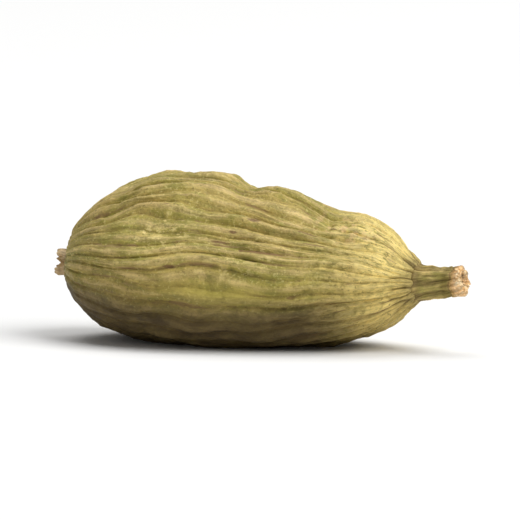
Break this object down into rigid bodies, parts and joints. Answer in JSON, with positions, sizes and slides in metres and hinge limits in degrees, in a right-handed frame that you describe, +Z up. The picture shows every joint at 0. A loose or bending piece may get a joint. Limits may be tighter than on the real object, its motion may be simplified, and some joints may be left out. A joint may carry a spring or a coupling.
{
  "type": "cardamom pod",
  "caption": "Dried green cardamom pod, closed, ribbed and bluntly three-sided, lying on its side, with its stalk stub and the withered foot of its flower.",
  "frame": {"origin": "on the surface that the pod rests on, under the middle of its bounding box", "axes": "+X along the pod towards the stalk, +Z up from the resting surface"},
  "size_m": [0.0188, 0.0082, 0.0074],
  "materials": {
    "husk": "dried fibrous skin, pale green-brown, satin",
    "stalk": "dried stalk, green-brown, matte, with a tan broken end",
    "flower_foot": "withered papery tan, matte"
  },
  "bodies": {
    "root": {"husk": "husk", "stalk": "stalk", "flower_foot": "flower_foot"}
  },
  "joints": []
}
